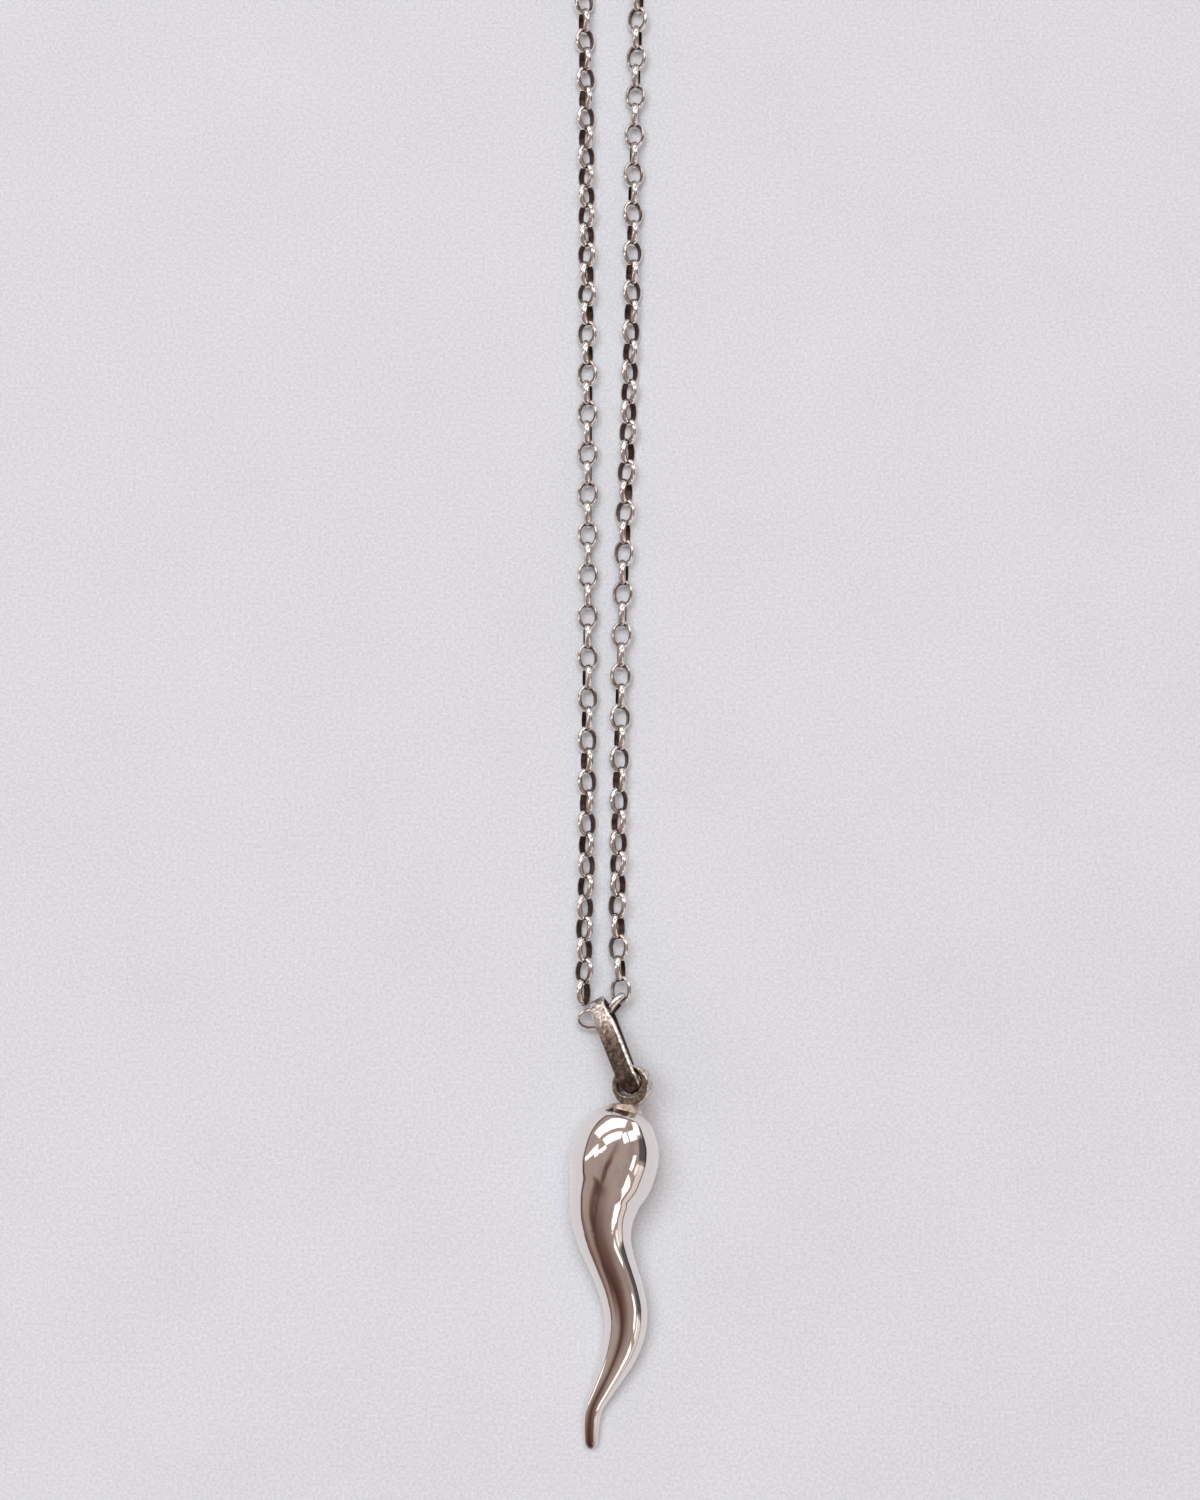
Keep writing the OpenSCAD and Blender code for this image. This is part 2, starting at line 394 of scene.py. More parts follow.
def roughen(tree, shader, height, distance, strength):
    """A Bump node that turns a height into the shader's normal."""
    bump = tree.nodes.new("ShaderNodeBump")
    bump.inputs["Distance"].default_value = distance
    bump.inputs["Strength"].default_value = strength
    tree.links.new(height, bump.inputs["Height"])
    tree.links.new(bump.outputs["Normal"], shader.inputs["Normal"])


def tarnish_and_painted_light_group():
    """Patches of brown tarnish and painted shade: more where a surface is hollow or worn
    less, and where painted shade and painted dark reflections lie.

    The mask is the piece's tarnish and painted light values plus a soft noise, spread
    between two limits. The colour runs from clean silver through warm brown to near black
    as the mask grows.
    """
    t, enter, leave = shader_group(
        "silver_tarnish_and_painted_light",
        [
            ("Vector", "NodeSocketVector", None),
            ("Scale", "NodeSocketFloat", 400.0),
            ("Tarnish and painted light", "NodeSocketFloat", 0.0),
            ("Amount", "NodeSocketFloat", 0.3),
            ("Silver", "NodeSocketColor", (0.9, 0.88, 0.85, 1)),
            ("Brown", "NodeSocketColor", (0.3, 0.2, 0.13, 1)),
            ("Black", "NodeSocketColor", (0.05, 0.04, 0.03, 1)),
        ],
        [("Colour", "NodeSocketColor"), ("Mask", "NodeSocketFloat")],
    )
    cloud = noise(t, enter.outputs["Vector"], enter.outputs["Scale"], 4.0, 0.6)
    patch = ramp(t, cloud, 0.3, 0.75)
    amount = reckon(t, "MULTIPLY", patch, enter.outputs["Amount"])
    mask = reckon(t, "ADD", amount, enter.outputs["Tarnish and painted light"], clamp=True)
    warm = blend_colour(
        t, ramp(t, mask, 0.0, 0.6), enter.outputs["Silver"], enter.outputs["Brown"]
    )
    deep = blend_colour(t, ramp(t, mask, 0.5, 1.0), warm, enter.outputs["Black"])
    t.links.new(deep, leave.inputs["Colour"])
    t.links.new(mask, leave.inputs["Mask"])
    return t


def scratch_group():
    """Fine scratches and pits: two noises stretched across each other, as a height."""
    t, enter, leave = shader_group(
        "fine_scratches",
        [
            ("Vector", "NodeSocketVector", None),
            ("Scale", "NodeSocketFloat", 600.0),
        ],
        [("Height", "NodeSocketFloat"), ("Mask", "NodeSocketFloat")],
    )
    along = stretched(t, enter.outputs["Vector"], (1.0, 0.06, 1.0))
    across = stretched(t, enter.outputs["Vector"], (0.09, 1.0, 0.7))
    first = noise(t, along, enter.outputs["Scale"], 2.0, 0.6, 0.3)
    second = noise(t, across, enter.outputs["Scale"], 2.0, 0.6, 0.3)
    lines = reckon(t, "ADD", ramp(t, first, 0.6, 0.72), ramp(t, second, 0.62, 0.74))
    t.links.new(lines, leave.inputs["Height"])
    t.links.new(reckon(t, "MULTIPLY", lines, 0.5, clamp=True), leave.inputs["Mask"])
    return t


def shared_group(name, build):
    """A node group that the silver materials share, built when it is first asked for."""
    return bpy.data.node_groups.get(name) or build()


def silver_material(
    name,
    silver,
    brown,
    black,
    scale,
    amount,
    smooth,
    rough,
    scratch_depth,
    wave_scale=120.0,
    wave_depth=0.1,
):
    """Silver with tarnish in its hollows, fine scratches and the slight waves of polishing.

    The piece's attribute values say where the hollows are, where painted shade and painted
    dark reflections add tarnish, and where a painted highlight takes it away. The tarnish
    mask also roughens the surface, from smooth to rough, so that dark places shine less.
    """
    material = bpy.data.materials.new(name)
    material.use_nodes = True
    t = material.node_tree
    shader = t.nodes["Principled BSDF"]
    shader.inputs["Metallic"].default_value = 1.0
    where = t.nodes.new("ShaderNodeTexCoord").outputs["Object"]
    tarnish = t.nodes.new("ShaderNodeGroup")
    tarnish.node_tree = shared_group("silver_tarnish_and_painted_light", tarnish_and_painted_light_group)
    t.links.new(where, tarnish.inputs["Vector"])
    tarnish.inputs["Scale"].default_value = scale
    tarnish.inputs["Amount"].default_value = amount
    for label, colour in (("Silver", silver), ("Brown", brown), ("Black", black)):
        tarnish.inputs[label].default_value = (*colour[:3], 1.0)
    # This attribute holds tarnish and painted light: painted shade and dark reflections
    # raise it, a painted highlight lowers it.
    layer = t.nodes.new("ShaderNodeAttribute")
    layer.attribute_name = "tarnish_and_painted_light"
    t.links.new(layer.outputs["Fac"], tarnish.inputs["Tarnish and painted light"])
    scratches = t.nodes.new("ShaderNodeGroup")
    scratches.node_tree = shared_group("fine_scratches", scratch_group)
    t.links.new(where, scratches.inputs["Vector"])
    scratches.inputs["Scale"].default_value = SCRATCH_SCALE
    t.links.new(tarnish.outputs["Colour"], shader.inputs["Base Color"])
    shine = ramp(t, tarnish.outputs["Mask"], 0.0, 1.0, smooth, rough)
    worn = reckon(t, "MULTIPLY", scratches.outputs["Mask"], 0.06)
    t.links.new(reckon(t, "ADD", shine, worn), shader.inputs["Roughness"])
    wave = noise(t, where, wave_scale, 1.0, 0.4)
    height = reckon(
        t,
        "ADD",
        reckon(t, "MULTIPLY", wave, wave_depth),
        reckon(t, "MULTIPLY", scratches.outputs["Height"], scratch_depth),
    )
    roughen(t, shader, height, 0.1 * MM, 1.0)
    return material


def paper_material(looks):
    """Pale paper: its grain is a fine noise in colour and height, over a faint cloud."""
    material = bpy.data.materials.new("pale_paper")
    material.use_nodes = True
    t = material.node_tree
    shader = t.nodes["Principled BSDF"]
    shader.inputs["Roughness"].default_value = 0.75
    shader.inputs["Specular IOR Level"].default_value = 0.25
    where = t.nodes.new("ShaderNodeTexCoord").outputs["Object"]
    grain = noise(t, where, 3200.0, 3.0, 0.75)
    cloud = noise(t, where, 60.0, 2.0, 0.5)
    tone = reckon(
        t,
        "ADD",
        ramp(t, grain, 0.25, 0.75, 0.0, 0.75),
        reckon(t, "MULTIPLY", cloud, 0.25),
    )
    pale, dark = looks.paper, [c * 0.72 for c in looks.paper]
    t.links.new(blend_colour(t, tone, dark, pale), shader.inputs["Base Color"])
    roughen(t, shader, grain, 0.04 * MM, 0.6)
    return material


# Sizes and looks


class NecklaceSizes(bpy.types.PropertyGroup):
    """Sizes of the pendant and of its chain."""

    horn_length: FloatProperty(
        name="Horn length",
        description="From the top of the collar to the tip",
        default=36.6 * MM,
        min=0.03,
        max=0.045,
        unit="LENGTH",
    )
    bulb_width: FloatProperty(
        name="Bulb width",
        description="Diameter of the horn's bulb",
        default=9.4 * MM,
        min=0.008,
        max=0.011,
        unit="LENGTH",
    )
    collar_width: FloatProperty(
        name="Collar width",
        description="Diameter of the collar at its foot",
        default=4.1 * MM,
        unit="LENGTH",
    )
    collar_height: FloatProperty(
        name="Collar height",
        description="Height of the collar",
        default=1.0 * MM,
        unit="LENGTH",
    )
    ring_width: FloatProperty(
        name="Ring width",
        description="Outer diameter of the soldered ring",
        default=4.4 * MM,
        unit="LENGTH",
    )
    ring_wall: FloatProperty(
        name="Ring wall",
        description="Thickness of the ring from its hole to its outside",
        default=0.72 * MM,
        unit="LENGTH",
    )
    ring_band: FloatProperty(
        name="Ring band",
        description="Width of the ring's band along its own axis",
        default=1.4 * MM,
        unit="LENGTH",
    )
    bail_strip_width: FloatProperty(
        name="Bail strip width",
        description="Width of the strip that the bail is bent from",
        default=1.65 * MM,
        unit="LENGTH",
    )
    bail_strip_wall: FloatProperty(
        name="Bail strip wall",
        description="Thickness of the bail's strip",
        default=0.45 * MM,
        unit="LENGTH",
    )
    bail_top_depth: FloatProperty(
        name="Bail top depth",
        description="Clear depth of the bail where the chain runs through it",
        default=2.9 * MM,
        unit="LENGTH",
    )
    bail_foot_depth: FloatProperty(
        name="Bail foot depth",
        description="Clear depth of the bail where it holds the ring",
        default=2.2 * MM,
        unit="LENGTH",
    )
    link_width: FloatProperty(
        name="Link width",
        description="Outer width of a chain link",
        default=2.33 * MM,
        unit="LENGTH",
    )
    link_length: FloatProperty(
        name="Link length",
        description="Outer length of a chain link",
        default=3.14 * MM,
        unit="LENGTH",
    )
    band_width: FloatProperty(
        name="Band width",
        description="Width of the domed band that a link is bent from",
        default=0.79 * MM,
        unit="LENGTH",
    )
    band_wall: FloatProperty(
        name="Band wall",
        description="Thickness of the link's band at the crown of its dome",
        default=0.28 * MM,
        unit="LENGTH",
    )
    clasp_width: FloatProperty(
        name="Clasp width",
        description="Diameter of the clasp ring, to the middle of its wire",
        default=4.4 * MM,
        unit="LENGTH",
    )
    clasp_wire: FloatProperty(
        name="Clasp wire",
        description="Thickness of the clasp ring's wire",
        default=1.0 * MM,
        unit="LENGTH",
    )
    eye_width: FloatProperty(
        name="Clasp eye width",
        description="Diameter of the clasp's eye, to the middle of its wire",
        default=2.4 * MM,
        unit="LENGTH",
    )
    eye_wire: FloatProperty(
        name="Clasp eye wire",
        description="Thickness of the eye's wire",
        default=0.6 * MM,
        unit="LENGTH",
    )


class NecklaceLooks(bpy.types.PropertyGroup):
    """Colours of the silver, its tarnish, the paper and the room's light."""

    silver: FloatVectorProperty(
        name="Silver",
        description="Colour of the polished silver",
        default=(0.90, 0.85, 0.825),
        min=0.0,
        max=1.0,
        size=3,
        subtype="COLOR",
    )
    brown: FloatVectorProperty(
        name="Brown tarnish",
        description="Colour of light tarnish",
        default=(0.34, 0.25, 0.17),
        min=0.0,
        max=1.0,
        size=3,
        subtype="COLOR",
    )
    black: FloatVectorProperty(
        name="Dark tarnish",
        description="Colour of tarnish deep in the hollows",
        default=(0.05, 0.04, 0.03),
        min=0.0,
        max=1.0,
        size=3,
        subtype="COLOR",
    )
    paper: FloatVectorProperty(
        name="Paper",
        description="Colour of the paper that the necklace lies on",
        default=(0.853, 0.864, 0.886),
        min=0.0,
        max=1.0,
        size=3,
        subtype="COLOR",
    )
    room: FloatVectorProperty(
        name="Room",
        description="Colour of the light from the room's walls",
        default=(0.40, 0.32, 0.285),
        min=0.0,
        max=1.0,
        size=3,
        subtype="COLOR",
    )
    dark_side: FloatVectorProperty(
        name="Dark side",
        description="Colour of the dark side of the room that the silver mirrors",
        default=(0.21, 0.125, 0.10),
        min=0.0,
        max=1.0,
        size=3,
        subtype="COLOR",
    )
    lamp_light: FloatProperty(
        name="Lamp light",
        description="Brightness of the soft lamp, as a share of full white",
        default=4.7,
        min=0.0,
        max=20.0,
    )
    window_light: FloatProperty(
        name="Window light",
        description="Brightness of the window panes, as a share of full white",
        default=1.4,
        min=0.0,
        max=20.0,
    )
    horn_columns: IntProperty(
        name="Horn columns",
        description="Number of faces round the horn",
        default=72,
        min=24,
        max=128,
    )


def sizes_and_looks():
    """The scene's two property groups."""
    scene = bpy.context.scene
    return scene.necklace_sizes, scene.necklace_looks


# Pieces


class NECKLACE_OT_horn(bpy.types.Operator):
    """Make the horn's polished body"""

    bl_idname = "necklace.horn"
    bl_label = "Horn"

    def execute(self, context):
        sizes, looks = sizes_and_looks()
        obj = horn_body(sizes, looks.horn_columns)
        # Its brown and dark tarnish colours also paint the dark reflection along the ridge.
        material = silver_material(
            "polished_horn",
            looks.silver,
            (0.33, 0.215, 0.185),
            looks.black,
            scale=260.0,
            amount=0.05,
            smooth=0.07,
            rough=0.35,
            scratch_depth=0.03,
            wave_scale=350.0,
            wave_depth=0.2,
        )
        finish_piece(obj, material, "horn")
        return {"FINISHED"}


def horn_body(sizes, columns):
    """The horn: a round section carried along its S-shaped middle line.

    At a share u of the length the middle line lies to one side by the side curve, and
    the section, of the thickness curve's radius, stands square to that line. The last
    stretch to the tip follows a quarter circle, so that it ends round. Tarnish lies near the
    collar, and a painted dark reflection lies as a bell curve along the ridge that faces up.
    """
    length, bulb = sizes.horn_length / MM, sizes.bulb_width / MM
    first = HORN_ROWS[0, ALONG]
    closer_at_collar = np.linspace(0, 1, 150) ** 1.15
    body = first + (TIP_START - first) * closer_at_collar
    quarter = np.linspace(0, math.pi / 2, 10)[1:-1]
    u = np.concatenate([body, TIP_START + (1 - TIP_START) * np.sin(quarter)])
    closing = np.concatenate([np.ones(len(body)), np.cos(quarter)])
    radius = bulb / 2 * hermite(u, THICK) * closing
    step = 0.004
    low, high = np.maximum(u - step, first), np.minimum(u + step, 1.0)
    turn = np.arctan2(hermite(high, SIDE) - hermite(low, SIDE), (high - low) * length)
    a = np.linspace(0, 2 * math.pi, columns, endpoint=False)
    r, h = radius[:, None], turn[:, None]
    x = hermite(u, SIDE)[:, None] + r * np.cos(a) * np.cos(h)
    y = -u[:, None] * length + r * np.cos(a) * np.sin(h)
    z = r * np.sin(a) + 0 * h
    obj = surface_piece(
        "horn_body", on_table(np.stack([x, y, z], -1), sizes), poles=True
    )
    face_outward(obj)
    past_collar = (u[:, None] - first) / COLLAR_TARNISH_REACH
    near_collar = COLLAR_TARNISH * np.clip(1 - past_collar, 0, 1) ** 2
    # Painted reflection: the ridge that faces up is darkened where the horn mirrors the dark
    # room.
    ridge = np.interp(u, *RIDGE_PAINTED_REFLECTION[:, [0, 1]].T)[:, None]
    width = np.radians(np.interp(u, *RIDGE_PAINTED_REFLECTION[:, [0, 2]].T))[:, None]
    ridge = ridge * np.exp(-(((a - RIDGE_AT) / width) ** 2))
    tarnish_and_painted_light = np.maximum(near_collar, ridge).ravel()
    point_values(obj, "tarnish_and_painted_light", np.concatenate([tarnish_and_painted_light, [COLLAR_TARNISH, 0.0]]))
    return obj


class NECKLACE_OT_collar(bpy.types.Operator):
    """Make the low collar on the horn's bulb"""

    bl_idname = "necklace.collar"
    bl_label = "Collar"

    def execute(self, context):
        sizes, looks = sizes_and_looks()
        obj = collar(sizes)
        material = silver_material(
            "collar_silver",
            looks.silver,
            (0.42, 0.30, 0.235),
            looks.black,
            scale=1500.0,
            amount=0.35,
            smooth=0.25,
            rough=0.5,
            scratch_depth=0.1,
            wave_scale=900.0,
            wave_depth=0.15,
        )
        finish_piece(obj, material, "horn")
        return {"FINISHED"}


def collar(sizes):
    """The collar: a cone with a softly rounded rim, turned about the horn's axis.

    The profile runs from inside the bulb up the slope, over a small quarter round and
    in to the middle of the flat top.
    """
    foot, rise = sizes.collar_width / MM / 2, sizes.collar_height / MM
    top, soft = foot - COLLAR_SLOPE, COLLAR_ROUND
    arc = np.linspace(0, math.pi / 2, 6)
    profile = np.concatenate(
        [
            [[foot - 0.3, -rise - 0.25], [foot + 0.02, -rise - 0.12]],
            [[foot, -rise], [(foot + top) / 2, -rise / 2]],
            np.stack(
                [top - soft + soft * np.cos(arc), -soft + soft * np.sin(arc)], -1
            ),
            [[0.4, 0.0]],
        ]
    )
    a = np.linspace(0, 2 * math.pi, 48, endpoint=False)
    x = profile[:, :1] * np.cos(a)
    z = profile[:, :1] * np.sin(a)
    y = profile[:, 1:] + 0 * a
    obj = surface_piece(
        "horn_collar", on_table(np.stack([x, y, z], -1), sizes), poles=True
    )
    face_outward(obj)
    depth = np.interp(profile[:, 1], [-rise, -rise * 0.4, 0.0], [0.1, 0.34, 0.25])
    tarnish_and_painted_light = np.repeat(depth, len(a))
    point_values(obj, "tarnish_and_painted_light", np.concatenate([tarnish_and_painted_light, [1.0, 0.2]]))
    return obj


def rounded_box(half_u, half_v, soft, steps):
    """A closed outline of a rectangle with quarter-round corners, counter-clockwise."""
    arc = np.linspace(0, math.pi / 2, steps)
    corners = []
    for turn, (su, sv) in enumerate(((1, 1), (-1, 1), (-1, -1), (1, -1))):
        angle = arc + turn * math.pi / 2
        corners.append(
            np.stack(
                [
                    su * (half_u - soft) + soft * np.cos(angle),
                    sv * (half_v - soft) + soft * np.sin(angle),
                ],
                -1,
            )
        )
    return np.concatenate(corners)


def soft_corners(corners, reach, steps=3):
    """A closed outline whose corners are rounded by curves that start at a set reach.

    Each curve runs from a point before the corner to one after it, drawn to the corner.
    """
    corners = np.asarray(corners, float)
    before = np.roll(corners, 1, 0) - corners
    after = np.roll(corners, -1, 0) - corners
    start = corners + before / np.linalg.norm(before, axis=1, keepdims=True) * reach
    end = corners + after / np.linalg.norm(after, axis=1, keepdims=True) * reach
    t = np.linspace(0, 1, steps)[None, :, None]
    curve = (1 - t) ** 2 * start[:, None] + 2 * t * (1 - t) * corners[:, None]
    return (curve + t**2 * end[:, None]).reshape(-1, 2)


def smooth_step(low, high, value):
    """Zero up to the low limit, one from the high limit, and a smooth S between.

    The S is three times the square of the share of the way less twice its cube.
    """
    t = np.clip((value - low) / (high - low), 0, 1)
    return t * t * (3 - 2 * t)


class NECKLACE_OT_ring(bpy.types.Operator):
    """Make the ring that is soldered to the collar"""

    bl_idname = "necklace.ring"
    bl_label = "Ring"

    def execute(self, context):
        sizes, looks = sizes_and_looks()
        obj = ring(sizes)
        material = silver_material(
            "ring_silver",
            looks.silver,
            (0.30, 0.245, 0.19),
            looks.black,
            scale=2400.0,
            amount=0.5,
            smooth=0.1,
            rough=0.35,
            scratch_depth=0.1,
            wave_scale=700.0,
            wave_depth=0.2,
        )
        finish_piece(obj, material, "horn")
        return {"FINISHED"}


def ring(sizes):
    """The ring: a flat band with rounded edges carried round a circle.

    At its foot the hole is partly filled with solder, so the band is thicker there by a
    smooth hump. Tarnish lies on its flat faces and in its hole, and is worn off its rim.
    """
    outer, wall = sizes.ring_width / MM / 2, sizes.ring_wall / MM
    section = rounded_box(wall / 2, sizes.ring_band / MM / 2, RING_ROUND, 5)
    middle = outer - wall / 2
    a = np.linspace(0, 2 * math.pi, 96, endpoint=False)[:, None]
    solder = SOLDER_DEPTH * smooth_step(-0.2, 0.9, -np.sin(a - SOLDER_AT))
    r = middle + section[:, 0] - solder * (section[:, 0] < 0)
    points = np.stack([r * np.cos(a), r * np.sin(a), section[:, 1] + 0 * r], -1)
    points = turned(points, "Y", RING_TURN)
    points = points + np.array([RING_SIDE, outer - RING_SINK, 0.0])
    obj = surface_piece("horn_ring", on_table(points, sizes), closed_u=True)
    face_outward(obj)
    through = section[:, 0] / (wall / 2)
    side = section[:, 1] / (sizes.ring_band / MM / 2)
    face = 0.33 * smooth_step(0.7, 0.95, np.abs(side))
    hole = 0.6 * smooth_step(0.5, 0.95, -through)
    rim = smooth_step(0.6, 0.8, np.minimum(through, np.abs(side)))
    wear = np.maximum(np.maximum(face, hole), 0.3) * (1 - rim)
    point_values(obj, "tarnish_and_painted_light", np.tile(wear, len(a)))
    return obj


class NECKLACE_OT_bail(bpy.types.Operator):
    """Make the bail, a closed loop of flat strip"""

    bl_idname = "necklace.bail"
    bl_label = "Bail"

    def execute(self, context):
        sizes, looks = sizes_and_looks()
        obj = bail(sizes)
        material = silver_material(
            "bail_silver",
            looks.silver,
            (0.28, 0.215, 0.175),
            (0.08, 0.06, 0.05),
            scale=2300.0,
            amount=0.45,
            smooth=0.14,
            rough=0.5,
            scratch_depth=0.2,
            wave_scale=1100.0,
            wave_depth=0.25,
        )
        finish_piece(obj, material, "bail")
        return {"FINISHED"}


def bail(sizes):
    """The bail: a strip with rounded edges carried round a wedge with two round ends.

    The outline is an arc of each of two circles and the straight sides that touch both,
    whose slope has as its sine the difference of the radii over the circles' distance.
    The strip's section, whose outer corners are cut, stands square to it, and the upper
    strip is wider below its top bend, more so to the right.
    """
    foot = BAIL_FOOT_ABOVE_RING.copy()
    ring_up = sizes.ring_width / MM / 2 - RING_SINK
    lean = math.radians(horn_tilt(sizes))
    foot[2] += collar_height(sizes) + ring_up * math.sin(lean)
    run = BAIL_TOP - foot
    span = np.linalg.norm(run)
    wall = sizes.bail_strip_wall / MM
    top_r = sizes.bail_top_depth / MM / 2 + wall / 2
    foot_r = sizes.bail_foot_depth / MM / 2 + wall / 2
    slope = math.asin((top_r - foot_r) / span)
    low = np.linspace(math.pi + slope, 2 * math.pi - slope, 25)
    high = np.linspace(-slope, math.pi + slope, 31)
    side = np.linspace(0, 1, 18)[1:-1, None]
    around = [
        np.stack([np.cos(low), np.sin(low)], -1),
        np.stack([np.cos(high), np.sin(high)], -1),
    ]
    low_arc, high_arc = foot_r * around[0], top_r * around[1] + [0, span]
    right = low_arc[-1] * (1 - side) + high_arc[0] * side
    left = high_arc[-1] * (1 - side) + low_arc[0] * side
    line = np.concatenate([low_arc, right, high_arc, left])
    out = np.concatenate(
        [
            around[0],
            np.repeat(around[1][:1], len(side), 0),
            around[1],
            np.repeat(around[1][-1:], len(side), 0),
        ]
    )
    half = sizes.bail_strip_width / MM / 2
    h, cut, drop = wall / 2, BAIL_CUT, BAIL_SLOPE
    section = soft_corners(
        [
            [h, drop - half],
            [h, half - cut],
            [h - drop, half],
            [-h, half],
            [-h, -half],
            [h - drop, -half],
        ],
        0.06,
    )
    upper = smooth_step(-0.5, 0.8, -out[:, 0])
    near_foot = 1 - np.clip(line[:, 1] / span, 0, 1)
    below_top = smooth_step(0.0, 0.3, near_foot)
    gain = np.where(section[:, 1] < 0, *BAIL_GAIN) * below_top[:, None]
    widen = BAIL_REAR + upper[:, None] * (BAIL_WIDER + gain)
    flat = line[:, None, :] + out[:, None, :] * section[None, :, :1]
    across = widen * section[:, 1]
    points = np.stack([flat[..., 0], flat[..., 1], across], -1)
    points = turned(points, "Y", 90 + BAIL_ROLL)
    points = turned(points, "X", math.degrees(math.asin(run[2] / span)))
    points = turned(points, "Z", -math.degrees(math.atan2(run[0], run[1])))
    obj = surface_piece("bail_loop", (points + foot) * MM, closed_u=True)
    face_outward(obj)
    # Tarnish, wear, a painted highlight and a painted dark reflection on the bail.
    wear = bail_tarnish_and_painted_light(section / [h, half], upper, near_foot, out[:, 1])
    point_values(obj, "tarnish_and_painted_light", wear)
    return obj


def bail_tarnish_and_painted_light(place, upper, near_foot, facing):
    """Tarnish and painted light on the bail: darkest at the foot, worn off the edges that
    rub.

    The place runs from -1 to 1 through the strip and across it. The upper strip's right
    bevel is bright all along. Its left half is kept clean only near the top, a painted
    highlight, and the top bend is brown, a painted dark reflection.
    """
    through, side = place[None, :, 0], place[None, :, 1]
    upper, foot = upper[:, None], near_foot[:, None]
    face = 0.2 + 0.5 * smooth_step(0.1, 0.75, foot)
    # Painted highlight: the upper strip's left half is kept clean near the top, where its
    # silver mirrors a window pane.
    limit = 0.08 + 0.14 * np.clip(-side, 0, 1)
    near_top = 1 - smooth_step(-0.1, 0.12, foot - limit)
    right = smooth_step(0.74, 0.84, side) * (through > -0.9)
    left = smooth_step(-0.2, 0.4, -side) * (through > -0.9) * near_top
    front = face * (1 - right) * (1 - left)
    # Painted dark reflection: the top bend is browned where it mirrors the dark room.
    top_bend_painted_dark = 0.5 * smooth_step(0.5, 0.9, facing)[:, None]
    front = np.maximum(front, top_bend_painted_dark * (1 - right))
    back = 0.3 + 0.45 * smooth_step(0.5, 0.95, side)
    inner = smooth_step(0.5, 0.95, -through)
    return np.clip(front * upper + back * (1 - upper) + inner * 0.1, 0, 1)


class NECKLACE_OT_chain(bpy.types.Operator):
    """Make the links of both strands of the chain"""

    bl_idname = "necklace.chain"
    bl_label = "Chain"

    def execute(self, context):
        sizes, _ = sizes_and_looks()
        material = silver_material(
            "chain_silver",
            (0.87, 0.85, 0.835),
            (0.25, 0.162, 0.13),
            (0.058, 0.036, 0.028),
            scale=900.0,
            amount=0.2,
            smooth=0.045,
            rough=0.35,
            scratch_depth=0.1,
            wave_scale=800.0,
            wave_depth=0.2,
        )
        for name in ("chain_left", "chain_right"):
            centres, axes = link_places(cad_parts[name])
            obj = strand_of_links(name + "_links", centres, axes, sizes)
            finish_piece(obj, material, name)
        return {"FINISHED"}


def link_places(node):
    """Where each link of a strand lies: its middle and its three axes.

    Points at the same place are one point, and points joined by a face are one link. A
    link's axes are those of the spread of its surface: longest along it, shortest
    through its band.
    """
    mesh = node.data
    co = vertex_array(mesh)
    mesh.calc_loop_triangles()
    tri = np.zeros(len(mesh.loop_triangles) * 3, np.int32)
    mesh.loop_triangles.foreach_get("vertices", tri)
    key = np.round(co / 1e-6).astype(np.int64)
    _, same = np.unique(key, axis=0, return_inverse=True)
    tri = same.ravel()[tri].reshape(-1, 3)
    label = np.arange(tri.max() + 1)
    while True:
        lowest = label[tri].min(1)
        after = label.copy()
        for corner in range(3):
            np.minimum.at(after, tri[:, corner], lowest)
        after = after[after]
        if np.array_equal(after, label):
            break
        label = after
    place = np.zeros((tri.max() + 1, 3))
    place[same.ravel()] = co
    corners = place[tri]
    area = np.linalg.norm(
        np.cross(corners[:, 1] - corners[:, 0], corners[:, 2] - corners[:, 0]), axis=1
    )
    middle = corners.mean(1)
    _, link = np.unique(label[tri[:, 0]], return_inverse=True)
    link = link.ravel()
    total = np.bincount(link, area)
    centre = np.stack(
        [np.bincount(link, area * middle[:, k]) / total for k in range(3)], -1
    )
    offset = middle - centre[link]
    spread = np.zeros((len(total), 3, 3))
    np.add.at(spread, link, area[:, None, None] * offset[:, :, None] * offset[:, None])
    _, axes = np.linalg.eigh(spread)
    along, across = axes[:, :, 2], axes[:, :, 1]
    through = np.cross(across, along)
    return centre, np.stack([across, along, through], -1)


